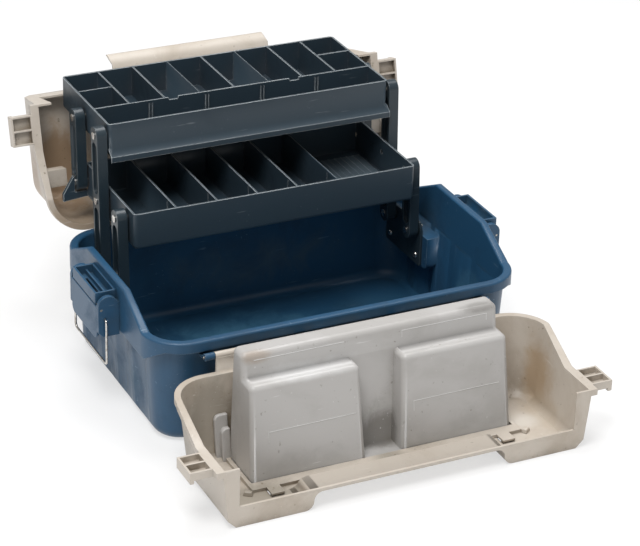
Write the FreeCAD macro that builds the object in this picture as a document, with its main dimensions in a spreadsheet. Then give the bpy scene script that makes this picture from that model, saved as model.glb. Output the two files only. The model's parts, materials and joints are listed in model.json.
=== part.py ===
import FreeCAD, Part
import math
import os
import re

from FreeCAD import Placement, Rotation, Vector

# A hip-roof tackle box: a deep tub with a front lid and a rear lid on wire hinges, two trays on
# cantilever arms, a draw latch on each end, bait bins in the front lid and a carrying handle.
# Origin: centre of the tub's underside. +X to the right, +Y to the back, +Z up. Millimetres.

DIMENSIONS = (
    # tub
    ("rim_half_x", 243), ("rim_half_y", 163), ("rim_corner", 50),
    ("rim_low", 139), ("rim_high", 168), ("rim_flat_y", 60), ("rim_ramp_y", 118),
    ("flange_out", 6.5), ("flange_wall", 2.5), ("flange_front", 13), ("band_low", 108),
    ("band_half_y", 136), ("tub_draft", 9), ("foot_fillet", 15), ("wall", 3), ("floor_wall", 4),
    ("flute_pitch", 55), ("flute_width", 46), ("flute_depth", 3),
    # lids, drawn closed
    ("lid_gap", 0.4), ("lid_top", 244), ("lid_shoulder", 234), ("lid_half_x", 229),
    ("lid_half_y", 143), ("lid_corner", 34), ("lid_wall", 3), ("lip_tall", 8),
    ("seam_gap", 0.25), ("seam_wall", 3), ("seam_tall", 26), ("seam_wide", 19),
    ("hand_half", 112), ("hand_round", 11), ("hand_deep", 22), ("hand_long", 44),
    ("hand_flat", 31), ("hand_end", 43), ("hand_wall", 2.5),
    ("tongue_reach", 37), ("tongue_flat", 27), ("tongue_lift", 1), ("tongue_wall", 2.5),
    ("tongue_half", 110),
    # wire hinges
    ("hinge_y", 170), ("hinge_z", 122), ("knuckle_round", 4.5), ("knuckle_web", 3.5),
    ("hinge_wire", 1.6), ("pin_fit", 0.06), ("knuckle_end", 186), ("knuckle_long", 12),
    ("knuckle_mid", 60), ("knuckle_gap", 0.6), ("front_open", 180), ("rear_open", 104),
    # hooks and hold-down blocks on the lids
    ("hook_out", 270), ("hook_near", 12), ("hook_far", 50), ("hook_low", 159),
    ("hook_high", 178.5), ("hook_wall", 2.5), ("barb_tall", 4), ("barb_deep", 5),
    ("stop_near", 84), ("stop_far", 106), ("stop_low", 157), ("stop_high", 175),
    ("stop_in", 208.5),
    # bait bins and their door
    ("bin_wall", 2), ("bin_half_x", 170), ("well_gap", 46), ("well_near", 68), ("well_far", 118),
    ("well_low", 122.5), ("well_lean", 17), ("ridge_near", 97.5), ("ridge_lean", 14),
    ("ridge_far", 139), ("ridge_low", 94), ("ridge_half_x", 165), ("ridge_top_half", 169),
    ("bin_mouth_far", 131), ("bin_draft", 4.5), ("bin_lip", 5), ("bin_round", 7),
    ("door_wall", 2.4), ("door_fit", 0.5), ("door_near", 56), ("door_axis_y", 42),
    ("door_axis_drop", 2.6), ("door_knuckle", 2.2), ("door_pin", 0.8), ("door_tab", 150),
    ("door_tab_long", 8), ("door_ear", 3),
    # carrying handle
    ("grip_round", 5.5), ("grip_reach", 29), ("grip_axis_y", 12), ("grip_axis_z", 236),
    ("grip_pin", 3),
    # cantilever arms
    ("arm_span", 86), ("arm_lean", 3), ("arm_wide", 22), ("arm_thick", 13), ("arm_gap", 2.5),
    ("arm_pocket", 4), ("arm_edge", 3.5), ("pin_round", 3), ("pin_head", 4.6),
    ("long_y", 122), ("long_z", 108.2), ("short_y", 59.5), ("short_z", 112),
    ("back_dy", 75), ("back_dz", -6),
    # brackets and bosses inside the tub ends
    ("bracket_gap", 1.5), ("bracket_wall", 3), ("bracket_front", 45), ("bracket_back", 140),
    ("bracket_low", 62), ("boss_top", 106), ("screw_round", 2), ("screw_head", 4),
    # trays, measured from the long arm's pivot
    ("tray_half_x", 190), ("tray_wall", 2), ("tray_floor", 2.5), ("tray_round", 5),
    ("low_front", 89.2), ("low_back", 76.5), ("low_top", 17.5), ("low_deep", 47.6),
    ("low_columns", 7), ("high_front", 9.2), ("high_back", 155.2), ("high_top", 15.3),
    ("high_deep", 42.3), ("high_columns", 8), ("high_mid", 43.2), ("high_split", 101),
    ("lip_out", 10.2), ("lip_drop", 32), ("lip_slope", 7.5), ("lip_skirt", 7),
    ("notch_x", 83), ("notch_wide", 15), ("notch_deep", 3.5),
    ("wing_wall", 5), ("wing_long", 15.2), ("wing_gap", 1.3),
    # draw latches
    ("latch_out", 269.5), ("latch_half", 47.5), ("ear_wall", 5.5), ("ear_low", 103),
    ("ear_round", 11), ("ear_axis_x", 257), ("ear_axis_z", 143), ("pocket_half", 37.5),
    ("pocket_low", 144), ("pocket_high", 158), ("latch_wall", 2.5),
    ("lever_x", 265.5), ("lever_z", 138.5), ("lever_top", 142.4), ("lever_low", 98),
    ("lever_gap", 0.4), ("lever_wall", 2.6), ("lever_pin", 1.5), ("lever_rib", 3),
    ("bail_x", 261.5), ("bail_z", 126.3), ("bail_half", 53), ("bail_long", 58.5),
    ("bail_wire", 1.5), ("bail_bend", 6),
)

doc = FreeCAD.newDocument("TackleBox")
sheet = doc.addObject("Spreadsheet::Sheet", "Dimensions")
for row, (alias, amount) in enumerate(DIMENSIONS, start=1):
    sheet.set(f"A{row}", alias)
    sheet.set(f"B{row}", str(amount))
    sheet.setAlias(f"B{row}", alias)
doc.recompute()

ALIAS = re.compile(r"\b(" + "|".join(alias for alias, _ in DIMENSIONS) + r")\b")
NODES = []


def cell(text):
    """Write a formula of dimension names as an expression on the sheet."""
    return ALIAS.sub(r"Dimensions.\1", str(text))


def bind(target, prop, text):
    target.setExpression(prop, cell(text))


def size(text):
    """The value of a formula of dimension names."""
    return float(sheet.evalExpression(cell(text)))


def node(target, label):
    """Name a finished sub-part; its label is its node and file name."""
    target.Label = label
    NODES.append(target)
    return target


def feature(label, shape, placement=None):
    """A sub-part whose shape is made with Part's own functions."""
    made = doc.addObject("Part::Feature", label)
    made.Shape = shape
    made.Placement = placement or Placement()
    return node(made, label)


def box(name, x, y, z):
    """A block between two formulas on each axis."""
    made = doc.addObject("Part::Box", name)
    for prop, axis, (low, high) in zip(("Length", "Width", "Height"), "xyz", (x, y, z)):
        bind(made, prop, f"({high}) - ({low})")
        bind(made, f"Placement.Base.{axis}", low)
    return made


def rod(name, radius, length, x, y, z):
    """A round bar along X that starts at x, y, z."""
    made = doc.addObject("Part::Cylinder", name)
    bind(made, "Radius", radius)
    bind(made, "Height", length)
    made.Placement = Placement(Vector(), Rotation(Vector(0, 1, 0), 90))
    for axis, place in zip("xyz", (x, y, z)):
        bind(made, f"Placement.Base.{axis}", place)
    return made


def joined(kind, name, parts):
    """Fuse parts, or keep them as one group of separate solids."""
    made = doc.addObject(kind, name)
    setattr(made, "Links" if kind == "Part::Compound" else "Shapes", parts)
    return made


def cut(name, base, tool):
    made = doc.addObject("Part::Cut", name)
    made.Base = base
    made.Tool = tool
    return made


def block(x, y, z):
    """A plain solid block between value pairs."""
    return Part.makeBox(x[1] - x[0], y[1] - y[0], z[1] - z[0], Vector(x[0], y[0], z[0]))


def bar(radius, x, y, z):
    """A plain round solid along X between the two values of x."""
    return Part.makeCylinder(radius, x[1] - x[0], Vector(x[0], y, z), Vector(1, 0, 0))


def prism(points, axis, low, high):
    """Push a closed outline along X (points are y, z) or along Y (points are x, z)."""
    if axis == "x":
        corners = [Vector(low, a, b) for a, b in points]
        push = Vector(high - low, 0, 0)
    else:
        corners = [Vector(a, low, b) for a, b in points]
        push = Vector(0, high - low, 0)
    return Part.Face(Part.makePolygon(corners + corners[:1])).extrude(push)


def rounded_outline(half_x, half_y, corner, z):
    """A closed rectangle with round corners, centred on the origin at height z."""
    edges = []
    signs = ((1, 1), (-1, 1), (-1, -1), (1, -1))
    for index, (sx, sy) in enumerate(signs):
        centre = Vector(sx * (half_x - corner), sy * (half_y - corner), z)
        start = math.radians(90 * index)
        arc = [centre + Vector(corner * math.cos(turn), corner * math.sin(turn), 0)
               for turn in (start, start + math.pi / 4, start + math.pi / 2)]
        if edges:
            edges.append(Part.makeLine(last, arc[0]))
        else:
            first = arc[0]
        edges.append(Part.Arc(*arc).toShape())
        last = arc[2]
    edges.append(Part.makeLine(last, first))
    return Part.Wire(edges)


def tapered(lower, upper):
    """A closed solid between two rounded outlines, each (half_x, half_y, corner, z)."""
    return Part.makeLoft([rounded_outline(*lower), rounded_outline(*upper)], True, True)


def shrunk(outline, wall):
    half_x, half_y, corner, z = outline
    return (half_x - wall, half_y - wall, corner - wall, z)


def round_edges(solid, radius, wanted):
    """Fillet the edges whose bounding box passes the test."""
    edges = [edge for edge in solid.Edges if wanted(edge.BoundBox)]
    return solid.makeFillet(radius, edges)


def rim_line(lift):
    """The stepped rim seen from the end, from front to back, raised by lift."""
    low, high = size("rim_low") + lift, size("rim_high") + lift
    flat, ramp, far = size("rim_flat_y"), size("rim_ramp_y"), size("rim_half_y") + 9
    return [(-far, low), (-ramp, low), (-flat, high), (flat, high), (ramp, low), (far, low)]


def below_rim(lift, bottom):
    """All the space under the rim line."""
    line = rim_line(lift)
    reach = size("rim_half_x") + 40
    return prism([(line[0][0], bottom)] + line + [(line[-1][0], bottom)], "x", -reach, reach)


def knuckle(x0, x1, side, toward):
    """One hinge knuckle with the web that carries it, toward a point (y, z)."""
    y, z = side * size("hinge_y"), size("hinge_z")
    web = size("knuckle_web") / 2
    run = Vector(0, toward[0] - y, toward[1] - z)
    across = Vector(0, -run.z, run.y).normalize() * web
    foot = Vector(0, y, z)
    corners = [foot + across, foot + run + across, foot + run - across, foot - across]
    arm = prism([(point.y, point.z) for point in corners], "x", x0, x1)
    return bar(size("knuckle_round"), (x0, x1), y, z).fuse(arm)


def knuckle_spans():
    """Where the tub's knuckles lie along the hinge, and the gaps left for the lid's."""
    end, long, mid = size("knuckle_end"), size("knuckle_long"), size("knuckle_mid")
    tub = [(-end, -end + long), (-mid - long / 2, -mid + long / 2),
           (mid - long / 2, mid + long / 2), (end - long, end)]
    gap = size("knuckle_gap")
    lid = [(left[1] + gap, right[0] - gap) for left, right in zip(tub, tub[1:])]
    return tub, lid


def hinge_hole(side):
    reach = size("knuckle_end") + 10
    radius = size("hinge_wire + pin_fit")
    return bar(radius, (-reach, reach), side * size("hinge_y"), size("hinge_z"))


def tub_outline(z):
    """The tub's outer outline at height z; every wall has the same draft."""
    inset = size("flange_out") + size("tub_draft") * (1 - z / size("rim_high"))
    rim = (size("rim_half_x"), size("rim_half_y"), size("rim_corner"), z)
    return shrunk(rim, inset)


def base_tub():
    wall, high = size("wall"), size("rim_high")
    bottom, top = tub_outline(0), tub_outline(high)
    outer = round_edges(tapered(bottom, top), size("foot_fillet"), lambda b: b.ZMax < 0.01)
    inner_low = shrunk(tub_outline(size("floor_wall")), wall)
    inner_high = shrunk(tub_outline(high), wall)
    inner = round_edges(tapered(inner_low, inner_high), size("foot_fillet - wall"),
                        lambda b: b.ZMax < size("floor_wall") + 0.01)
    # shallow upright flutes in both end walls, followed by the inside of the wall
    width, deep, pitch = size("flute_width"), size("flute_depth"), size("flute_pitch")
    radius = (width * width / 4 + deep * deep) / (2 * deep)
    for side in (-1, 1):
        for step in (-1.5, -0.5, 0.5, 1.5):
            lean = top[0] - bottom[0]
            foot = Vector(side * (bottom[0] + radius - deep), step * pitch, 0)
            axis = Vector(side * lean, 0, high)
            groove = Part.makeCylinder(radius, high, foot, axis)
            swell = Part.makeCylinder(radius + wall, high, foot, axis)
            roof = size("band_low") + 2
            groove = groove.common(block((-300, 300), (-200, 200), (-1, roof)))
            swell = swell.common(block((-300, 300), (-200, 200), (-1, roof + wall)))
            outer = outer.cut(groove)
            inner = inner.cut(swell)
    # the turned-down rim flange, deep on the ends and shallow along the hinges
    ring = (size("rim_half_x"), size("rim_half_y"), size("rim_corner"))
    low, band = size("rim_low - flange_front"), size("band_low")
    flange = tapered(ring + (band,), ring + (high,))
    slack = size("flange_wall")
    hollow_ring = tuple(value - slack for value in ring)
    hollow = tapered(hollow_ring + (band - 1,), hollow_ring + (high,))
    hollow = hollow.common(below_rim(-slack, band - 2))
    half = size("band_half_y")
    far = size("rim_half_y") + 5
    flange = flange.cut(hollow)
    reach = size("rim_half_x") + 40
    for side in (-1, 1):
        relief = [(side * (half - 16), band - 2), (side * far, band - 2),
                  (side * far, low), (side * (half + 14), low)]
        flange = flange.cut(prism(relief, "x", -reach, reach))
    # a boss at each end, left standing in the hollow, carries the arm bracket
    boss_in = size(f"{BRACKET_X} + bracket_wall")
    low = size("bracket_low")
    for side in (-1, 1):
        x = sorted((side * boss_in, side * (boss_in + 50)))
        boss = block(x, (size("bracket_front - 13"), size("bracket_back")), (low, size("boss_top")))
        boss = round_edges(boss, 8, lambda b: b.ZMax < low + 1 and b.YLength < 1)
        inner = inner.cut(boss)
    tub = outer.fuse(flange).common(below_rim(0, -1)).cut(inner)
    # hinge knuckles along the front and the back
    spans, _ = knuckle_spans()
    for side in (-1, 1):
        root = (side * size("rim_half_y - flange_out - 5"), size("hinge_z - 5"))
        for x0, x1 in spans:
            tub = tub.fuse(knuckle(x0, x1, side, root))
        tub = tub.cut(hinge_hole(side))
    for side in (-1, 1):
        for y, z in screw_places():
            x = sorted((side * boss_in, side * (boss_in + 14)))
            tub = tub.cut(bar(size("screw_round"), x, y, z))
        for y, z in bracket_pivots():
            x = sorted((side * boss_in, side * (boss_in + 6)))
            tub = tub.cut(bar(size("pin_round"), x, y, z))
    feature("base_tub", tub.removeSplitter())


def bracket_pivots():
    return [(size("long_y"), size("long_z")), (size("short_y"), size("short_z"))]


def screw_places():
    """Two screws under the pivots hold each bracket."""
    low = size("bracket_low + 12")
    return [(size("bracket_front + 12"), low), (size("bracket_back - 12"), low)]


def side_rotation(side):
    """The left-hand copy of an end fitting is the right-hand one turned half round."""
    return Rotation(Vector(0, 0, 1), 0 if side > 0 else 180)


def lid_outer():
    low = size("rim_low")
    lower = (size("rim_half_x - 4.5"), size("rim_half_y - 4.5"), size("rim_corner - 4.5"), low)
    upper = (size("lid_half_x"), size("lid_half_y"), size("lid_corner"), size("lid_shoulder"))
    crown = tuple(value - size("lid_top - lid_shoulder") for value in upper[:3])
    return lower, upper, crown + (size("lid_top"),)


def lid_body(wall):
    """The closed lid pair as one solid, or its hollow when wall is given."""
    lower, upper, crown = lid_outer()
    lower, upper = shrunk(lower, wall), shrunk(upper, wall)
    crown = shrunk(crown, wall)[:3] + (crown[3] - wall,)
    upper = upper[:3] + (upper[3] - wall * 0.4,)
    return tapered(lower, upper).fuse(tapered(upper, crown)).removeSplitter()


def hand_outline(grow, floor):
    """The hand recess seen from the front: S-curved sides down to a flat floor."""
    half, rad = size("hand_half") - grow, size("hand_round")
    top = floor + 2 * rad
    edges = []
    for side in (-1, 1):
        a = Vector(side * half, 0, floor)
        b = Vector(side * (half + rad), 0, floor + rad)
        c = Vector(side * (half + 2 * rad), 0, top)
        diagonal = rad * math.sin(math.pi / 4)
        first = Vector(side * (half + diagonal), 0, floor + rad - diagonal)
        second = Vector(side * (half + 2 * rad - diagonal), 0, top - rad + diagonal)
        edges.append((Part.Arc(a, first, b).toShape(), Part.Arc(b, second, c).toShape(), a, c))
    left, right = edges
    over = Vector(0, 0, 10)
    lines = [Part.makeLine(left[2], right[2]), right[0], right[1],
             Part.makeLine(right[3], right[3] + over),
             Part.makeLine(right[3] + over, left[3] + over), Part.makeLine(left[3] + over, left[3]),
             left[1], left[0]]
    return Part.Face(Part.Wire(Part.__sortEdges__(lines)))


def hand_space(profile, grow, lower):
    """The hand recess: its S-sided outline carried along a floor profile of (y, z) points."""
    floor = size("lid_top - hand_deep") - lower
    face = hand_outline(-grow, floor)
    far = profile[-1][0] + grow
    channel = face.extrude(Vector(0, far, 0))
    reach = size("hand_half + 3 * hand_round")
    roof = size("lid_top") + 30
    side = [(y + (grow if y > 0 else 0), z - lower) for y, z in profile]
    return channel.common(prism(side + [(far, roof), (0, roof)], "x", -reach, reach))


def lid_shell(profile):
    """Half of the lid pair, closed, at the rear; profile is the floor of its hand recess."""
    outer, inner = lid_body(0), lid_body(size("lid_wall"))
    gap, wall = size("seam_gap"), size("seam_wall")
    far, reach = size("rim_half_y") + 20, size("rim_half_x") + 60
    half = block((-reach, reach), (gap, far), (size("rim_low - 40"), size("lid_top + 20")))
    lift = size("lid_gap")
    # lip around the bottom edge
    ring = (size("rim_half_x"), size("rim_half_y"), size("rim_corner"))
    low, high = size("rim_low"), size("rim_high")
    lip = tapered(ring + (low - 9,), ring + (high + 22,))
    lip = lip.common(below_rim(lift + size("lip_tall"), low - 19))
    body = outer.fuse(lip)
    inner_lip = shrunk(ring + (low - 19,), 4.5 + size("lid_wall"))
    mouth = tapered(inner_lip, inner_lip[:3] + (low + 1,))
    body = body.cut(below_rim(lift, 100)).common(half).cut(inner).cut(mouth)
    # flange along the seam where the two lids meet
    seam = outer.common(block((-reach, reach), (gap, gap + wall), (size("rim_high"), 260)))
    wide = size("lid_half_x - seam_wide + 5")
    seam = seam.cut(block((-wide, wide), (0, 10), (100, size("lid_top - seam_tall"))))
    seam = seam.cut(below_rim(lift, 100))
    body = body.fuse(seam)
    # hand recess: a pan let into the top
    skin = size("hand_wall")
    pan = hand_space(profile, skin, skin).common(outer)
    pan = pan.cut(block((-reach, reach), (-1, gap), (100, 300)))
    body = body.fuse(pan).cut(hand_space(profile, 0, 0))
    # hinge knuckles
    _, spans = knuckle_spans()
    root = (size("rim_half_y + 3"), size("rim_low + lip_tall"))
    for x0, x1 in spans:
        plate = block((x0, x1), (size("rim_half_y") - 1, root[0] + 2),
                      (size("rim_low + lid_gap"), root[1]))
        plate = plate.cut(block((x0, x1), (0, size("rim_half_y") + 0.01), (0, size("rim_low"))))
        web = block((x0, x1), (size("rim_half_y + 1"), size("rim_half_y + 4.5")),
                    (size("hinge_z + 1"), root[1]))
        barrel = bar(size("knuckle_round"), (x0, x1), size("hinge_y"), size("hinge_z"))
        body = body.fuse(plate).fuse(web).fuse(barrel)
    body = body.cut(hinge_hole(1))
    # latch hooks, open downward, with a barb on the outer edge
    for side in (-1, 1):
        body = body.fuse(hook(side))
    return body


def hook(side):
    """A hollow hook over the latch: box, inner partition and a barb for the bail."""
    near, far_y = size("hook_near"), size("hook_far")
    low, high, wall = size("hook_low"), size("hook_high"), size("hook_wall")
    inner, out = size("rim_half_x - 13"), size("hook_out")
    lower, _, _ = lid_outer()
    x = sorted((side * inner, side * out))
    shell = block(x, (near, far_y), (low, high))
    barb_x = sorted((side * (out - size("barb_deep")), side * out))
    shell = shell.fuse(block(barb_x, (near, far_y), (high, high + size("barb_tall"))))
    edge = side * out
    shell = round_edges(shell, 1.2, lambda b: abs(b.XMin - edge) < 0.01 and b.XLength < 0.01
                        and b.YLength > 5 and b.ZMax > high + 1)
    cavity_x = sorted((side * (lower[0] + 6), side * (out - wall)))
    middle = (near + far_y) / 2
    for y0, y1 in ((near + wall, middle - wall / 2), (middle + wall / 2, far_y - wall)):
        shell = shell.cut(block(cavity_x, (y0, y1), (low - 1, high - wall)))
    shell = shell.cut(lid_body(size("lid_wall") - 0.5))
    return shell.cut(below_rim(size("lid_gap"), 100))


def open_lid(side, angle):
    """Where a lid stands when it is opened by angle about its wire hinge."""
    axis_point = Vector(0, side * size("hinge_y"), size("hinge_z"))
    return Placement(Vector(), Rotation(Vector(1, 0, 0), -side * angle), axis_point)


def door_region(grow, low):
    """The space of the bin door in the closed front lid: panel and two hinge tabs."""
    top = size("lid_top") + 1
    half, near, far = size("bin_half_x + 3") + grow, size("door_near"), size("bin_mouth_far")
    panel = block((-half, half), (-far - grow, -near + grow), (low, top))
    for side in (-1, 1):
        middle = side * size("door_tab")
        wide = size("door_tab_long / 2 + door_ear + 1")
        tab = block((middle - wide, middle + wide), (-near - 1, -size("door_axis_y") + 4), (low, top))
        panel = panel.fuse(tab)
    return panel


def front_lid():
    low, top = size("lid_top - hand_deep"), size("lid_top")
    profile = [(0, low), (size("hand_flat"), low), (size("hand_end"), top)]
    lid = lid_shell(profile).mirror(Vector(), Vector(0, 1, 0))
    # stepped recess for the door, with the mouth of the bins cut through it
    seat = top - size("door_wall + bin_wall") - 0.45
    pan = door_region(2.5, seat - 2.5).common(lid_body(0))
    pan = pan.common(block((-300, 300), (-200, -size("door_axis_y") + 7), (0, 260)))
    lid = lid.fuse(pan).cut(door_region(0, seat))
    half = size("bin_half_x") + 0.5
    near, far = size("well_near") - 0.5, size("bin_mouth_far") - 4
    lid = lid.cut(block((-half, half), (-far, -near), (seat - 5, top)))
    trough = prism([(-far, seat - 5), (-size("ridge_far") - 1, seat - 5),
                    (-size("ridge_far") - 1, 200), (-far, 200)], "x", -half, half)
    lid = lid.cut(trough.common(block((-half, half), (-200, 0), (0, seat - 1))))
    axis_y, axis_z = -size("door_axis_y"), top - size("door_axis_drop")
    ear = size("door_ear")
    for side in (-1, 1):
        for turn in (-1, 1):
            x = side * size("door_tab") + turn * (size("door_tab_long") / 2 + 0.3 + ear / 2)
            span = (x - ear / 2, x + ear / 2)
            lid = lid.fuse(bar(size("door_knuckle"), span, axis_y, axis_z))
            lid = lid.fuse(block(span, (axis_y - 2.2, axis_y + 2.2), (seat - 1, axis_z)))
        span = (side * size("door_tab") - 8, side * size("door_tab") + 8)
        lid = lid.cut(bar(size("door_pin + pin_fit"), span, axis_y, axis_z))
    feature("front_lid", lid.removeSplitter(), open_lid(-1, size("front_open")))


def bin_outer(grow):
    """The outside of the bins, or with grow their hollow: a long ridge and two wells."""
    top = size("lid_top - door_wall") - 0.3
    near, far = size("well_near") + grow, size("well_far") - grow
    rad, draft = size("bin_round") - grow, size("bin_draft")
    solids = []
    for side in (-1, 1):
        x = sorted((side * (size("well_gap / 2") + grow), side * (size("bin_half_x") - grow)))
        solids.append(leaning_block(x, (-far, -near), (size("well_low") + grow, top),
                                    draft, (0, size("well_lean")), rad))
    half, far = size("ridge_top_half") - grow, size("ridge_far") - grow
    ridge = leaning_block((-half, half), (-far, -size("ridge_near") - grow),
                          (size("ridge_low") + grow, top), size("ridge_top_half - ridge_half_x"),
                          (0, size("ridge_lean")), rad)
    return ridge.fuse(solids[0]).fuse(solids[1])


def leaning_block(x, y, z, draft, lean, rad):
    """A block narrowing downward by draft in x and by lean at either y side, all rounded."""
    rings = []
    for height, share in ((z[0], 1), (z[1], 0)):
        left, right = x[0] + draft * share, x[1] - draft * share
        front, back = y[0] + lean[0] * share, y[1] - lean[1] * share
        rings.append([Vector(left, front, height), Vector(right, front, height),
                      Vector(right, back, height), Vector(left, back, height)])
    low, high = rings
    quads = [low[::-1], high] + [[low[i - 1], low[i], high[i], high[i - 1]] for i in range(4)]
    faces = [Part.Face(Part.makePolygon(quad + quad[:1])) for quad in quads]
    solid = Part.makeSolid(Part.makeShell(faces))
    return round_edges(solid, rad, lambda b: b.ZMin < z[1] - 0.01)


def lid_bins():
    """The moulded insert: bins with a rim that rests on the edge of the lid's opening."""
    top = size("lid_top - door_wall") - 0.3
    wall = size("bin_wall")
    half, lip = size("bin_half_x"), size("bin_lip")
    far = size("bin_mouth_far") - 4
    solids = []
    for skin in (0, wall):
        # the ridge leans against the lid's slope and ducks under the edge of the opening
        below = block((-half, half), (-size("ridge_far") - 1, 0), (0, size("lid_shoulder") - 12))
        room = lid_body(size("lid_wall") + 0.3 + skin).fuse(below)
        ledge = block((-half - 5, half + 5), (-200, -far + 0.3 + skin), (top - 5.4 - skin, 260))
        mouth = block((-half, half), (-far + 0.3 + skin, 0), (200, 260))
        solids.append(bin_outer(skin).common(room.fuse(mouth)).cut(ledge))
    rim = block((-half - 2.5, half + 2.5), (-far - lip + 1.5, -size("door_near + 1")), (top - wall, top))
    bins = solids[0].fuse(rim).cut(solids[1])
    over = block((-half, half), (-200, 0), (top, top + 20))
    feature("lid_bins", bins.cut(over).removeSplitter(), open_lid(-1, size("front_open")))


def bin_door():
    top, wall, fit = size("lid_top"), size("door_wall"), size("door_fit")
    axis_y, axis_z = -size("door_axis_y"), top - size("door_axis_drop")
    half, near, far = size("bin_half_x + 3") - fit, size("door_near"), size("bin_mouth_far")
    door = block((-half, half), (-far + fit, -near - fit), (top - wall, top))
    rad = 6
    door = round_edges(door, rad, lambda b: b.ZLength > 1 and b.XLength < 1 and b.YLength < 1)
    for side in (-1, 1):
        span = (side * size("door_tab") - size("door_tab_long") / 2,
                side * size("door_tab") + size("door_tab_long") / 2)
        tab = block(span, (-near - fit - 4, axis_y), (axis_z, axis_z + size("door_knuckle")))
        door = door.fuse(tab).fuse(bar(size("door_knuckle"), span, axis_y, axis_z))
        door = door.cut(bar(size("door_pin + pin_fit"), (span[0] - 1, span[1] + 1), axis_y, axis_z))
    door = door.common(lid_body(0))
    # finger notch at the free edge
    notch = Part.makeCylinder(12, 10, Vector(0, -far - 4, top - 5))
    feature("bin_door", door.cut(notch).removeSplitter(), open_lid(-1, size("front_open")))
    pins = [bar(size("door_pin"), (side * size("door_tab") - 7.2, side * size("door_tab") + 7.2),
                axis_y, axis_z) for side in (-1, 1)]
    feature("bin_door_pins", Part.makeCompound(pins), open_lid(-1, size("front_open")))


def rear_lid():
    low, top = size("lid_top - hand_deep"), size("lid_top")
    lid = lid_shell([(0, low), (size("hand_long"), top)])
    # tongue over the front lid's recess, its tip turned up
    half, wall = size("tongue_half"), size("tongue_wall")
    floor, bend, tip = low + size("tongue_lift"), -size("tongue_flat"), -size("tongue_reach")
    rise = (bend - tip) * (top - low) / size("hand_end - hand_flat")
    tongue = prism([(8, floor), (bend, floor), (tip, floor + rise), (tip, floor + rise + wall + 1),
                    (tip + 1, floor + rise + wall + 1), (bend + 1, floor + wall), (8, floor + wall)],
                   "x", -half, half)
    lid = lid.fuse(tongue)
    # hold-down blocks inside the end walls
    for side in (-1, 1):
        x = sorted((side * size("stop_in"), side * (size("rim_half_x") - 4)))
        stop = block(x, (size("stop_near"), size("stop_far")), (size("stop_low"), size("stop_high")))
        lid = lid.fuse(stop.common(lid_body(1)))
        ear = sorted((side * (half + 1.5), side * (half + 19)))
        pin = bar(size("grip_pin + pin_fit"), ear, size("grip_axis_y"), size("grip_axis_z"))
        lid = lid.cut(pin)
    feature("rear_lid", lid.removeSplitter(), open_lid(1, size("rear_open")))


def carry_handle():
    """A swinging bail handle: two flat arms and a thick grip, lying in the hand recess."""
    rad, reach = size("grip_round"), size("grip_reach")
    y, z = size("grip_axis_y"), size("grip_axis_z")
    half = size("hand_half - 3")
    grip = Part.makeCylinder(rad, 2 * half - 20, Vector(-half + 10, y - reach, z), Vector(1, 0, 0))
    handle = grip
    for side in (-1, 1):
        x = sorted((side * half, side * (half - 7)))
        arm = block(x, (y - reach + 10, y), (z - 4, z + 4))
        eye = bar(5.5, x, y, z)
        corner = Part.makeSphere(rad, Vector(side * (half - 10), y - reach, z))
        link = Part.makeLoft([Part.Wire(Part.makeCircle(
            rad, Vector(side * (half - 10), y - reach, z), Vector(side, 0, 0))),
            Part.Wire(Part.makeCircle(4, Vector(side * (half - 3.5), y - reach + 12, z),
                                      Vector(0, 1, 0)))], True)
        handle = handle.fuse(arm).fuse(eye).fuse(corner).fuse(link)
        hole = sorted((side * (half + 1), side * (half - 8)))
        handle = handle.cut(bar(size("grip_pin + pin_fit"), hole, y, z))
    feature("carry_handle", handle.removeSplitter(), open_lid(1, size("rear_open")))
    pins = []
    for side in (-1, 1):
        x = sorted((side * (half - 9), side * (half + 18.5)))
        pins.append(bar(size("grip_pin"), x, y, z))
    feature("handle_pins", Part.makeCompound(pins), open_lid(1, size("rear_open")))


def hinge_pins():
    for label, side in (("front_hinge_pin", "-1"), ("rear_hinge_pin", "1")):
        pin = rod(label, "hinge_wire", "2 * knuckle_end + 4", "-knuckle_end - 2",
                  f"{side} * hinge_y", "hinge_z")
        node(pin, label)


def new_body(label):
    body = doc.addObject("PartDesign::Body", label)
    node(body, label)
    return body


def sketch_on(body, role, name):
    sketch = body.newObject("Sketcher::SketchObject", name)
    plane = [item for item in body.Origin.OriginFeatures if item.Role == role][0]
    sketch.AttachmentSupport = [(plane, "")]
    sketch.MapMode = "FlatFace"
    return sketch


def slot(sketch, start, span, radius):
    """An upright slot: round ends of one radius, span apart, the lower one at height start."""
    import Sketcher
    low, high, rad = size(start), size(f"{start} + {span}"), size(radius)
    out = Vector(0, 0, 1)
    bottom = sketch.addGeometry(Part.ArcOfCircle(
        Part.Circle(Vector(0, low, 0), out, rad), math.pi, 2 * math.pi))
    top = sketch.addGeometry(Part.ArcOfCircle(
        Part.Circle(Vector(0, high, 0), out, rad), 0, math.pi))
    right = sketch.addGeometry(Part.LineSegment(Vector(rad, low, 0), Vector(rad, high, 0)))
    left = sketch.addGeometry(Part.LineSegment(Vector(-rad, high, 0), Vector(-rad, low, 0)))
    rule = Sketcher.Constraint
    for first, second in (((bottom, 2), (right, 1)), ((right, 2), (top, 1)),
                          ((top, 2), (left, 1)), ((left, 2), (bottom, 1))):
        sketch.addConstraint(rule("Tangent", *first, *second))
    sizes = [("DistanceY", (bottom, 3, top, 3), span), ("Radius", (top,), radius)]
    if low:
        sketch.addConstraint(rule("PointOnObject", bottom, 3, -2))
        sizes.append(("DistanceY", (-1, 1, bottom, 3), start))
    else:
        sketch.addConstraint(rule("Coincident", bottom, 3, -1, 1))
    sketch.addConstraint(rule("PointOnObject", top, 3, -2))
    for kind, geometry, text in sizes:
        index = sketch.addConstraint(rule(kind, *geometry, size(text)))
        bind(sketch, f"Constraints[{index}]", text)


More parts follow.
